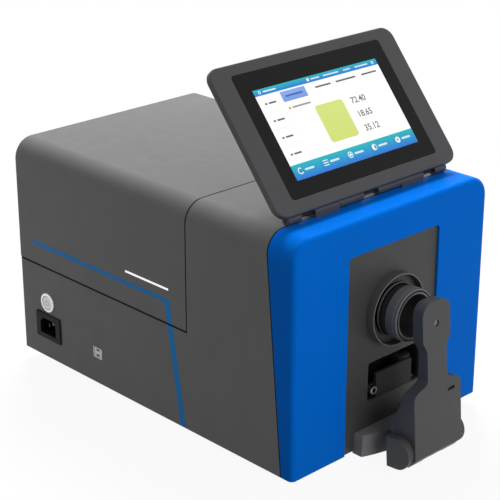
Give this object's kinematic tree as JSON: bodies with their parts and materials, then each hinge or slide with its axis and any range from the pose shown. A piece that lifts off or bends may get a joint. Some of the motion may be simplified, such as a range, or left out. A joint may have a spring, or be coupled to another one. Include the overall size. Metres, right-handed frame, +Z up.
{
  "type": "benchtop spectrophotometer",
  "caption": "Benchtop spectrophotometer with a tilting touch screen, a rear hood over a sample chamber, and a sample holder arm in front of a round measuring port.",
  "frame": {"origin": "on the bench, under the middle of the instrument's overall outline", "axes": "+Z up, -Y out of the front face with the measuring port, +X to the right as seen from the front"},
  "size_m": [0.2516, 0.4464, 0.3501],
  "materials": {
    "housing_grey": "fine texture",
    "shell_blue": "satin",
    "plate_dark": "fine texture",
    "sheet_metal": "satin",
    "dark_metal": "matt",
    "arm_grey": "powder coated",
    "black_plastic": "matt",
    "rubber_black": "matt",
    "steel": "brushed",
    "aluminium": "satin",
    "white_coating": "matt",
    "screen_grey": "satin",
    "glass_dark": "polished",
    "glass_clear": "polished",
    "display": "glossy",
    "board_green": "satin",
    "mirror_coat": "polished"
  },
  "bodies": {
    "instrument": {"main_housing": "housing_grey", "front_shell": "shell_blue", "front_plate": "plate_dark", "front_frame": "sheet_metal", "base_plate": "sheet_metal", "feet": "rubber_black", "port_ring": "plate_dark", "port_insert": "black_plastic", "measuring_collar": "plate_dark", "port_seal": "rubber_black", "aperture_mask": "dark_metal", "sphere_front_half": "white_coating", "sphere_rear_half": "white_coating", "lamp_module": "aluminium", "pocket_tray": "black_plastic", "flap_pin": "steel", "arm_block": "arm_grey", "arm_pin": "steel", "friction_washers": "black_plastic", "screen_hinge_base": "screen_grey", "screen_hinge_pin": "steel", "hinge_fixed_leaves": "steel", "hinge_pins": "steel", "button_bezel": "aluminium", "button_switch": "black_plastic", "mains_inlet": "black_plastic", "inlet_pins": "steel", "data_socket": "steel", "socket_tongue": "black_plastic", "deck_plate": "dark_metal", "deck_brackets": "black_plastic", "sample_chamber": "black_plastic", "cuvette_holder": "dark_metal", "beam_tube": "dark_metal", "beam_lens": "glass_clear", "optical_bench": "dark_metal", "bench_cover": "dark_metal", "grating": "mirror_coat", "detector": "board_green", "main_board": "board_green", "board_standoffs": "steel", "power_supply": "sheet_metal"},
    "hood": {"hood": "housing_grey", "hood_gasket": "rubber_black", "hinge_moving_leaves": "steel"},
    "screen": {"screen_frame": "screen_grey", "touch_glass": "glass_dark", "display_panel": "display", "screen_rear_shell": "screen_grey", "screen_board": "board_green", "screen_standoffs": "black_plastic"},
    "holder_arm": {"holder_arm": "arm_grey", "holder_pad": "rubber_black", "pad_screw": "steel"},
    "power_button": {"button_cap": "aluminium"},
    "pocket_flap": {"pocket_flap": "plate_dark"}
  },
  "joints": [
    {"name": "hood_hinge", "type": "hinge", "parent": "instrument", "child": "hood", "pos_m": [0, 0.21955, 0.1104], "axis": [-1, 0, 0], "range_deg": [0, 75]},
    {"name": "screen_tilt", "type": "hinge", "parent": "instrument", "child": "screen", "pos_m": [0, -0.13105, 0.2367], "axis": [1, 0, 0], "range_deg": [0, 35]},
    {"name": "arm_swing", "type": "hinge", "parent": "instrument", "child": "holder_arm", "pos_m": [0, -0.20675, 0.0236], "axis": [1, 0, 0], "range_deg": [-4.8, 75]},
    {"name": "power_button_press", "type": "slide", "parent": "instrument", "child": "power_button", "axis": [1, 0, 0], "range_m": [0, 0.002], "stiffness_N_per_m": 400, "springref_m": -0.0005},
    {"name": "pocket_flap_press", "type": "hinge", "parent": "instrument", "child": "pocket_flap", "pos_m": [0, -0.16315, 0.0676], "axis": [-1, 0, 0], "range_deg": [0, 12], "stiffness_Nm_per_rad": 0.05, "springref_deg": -5.73}
  ]
}
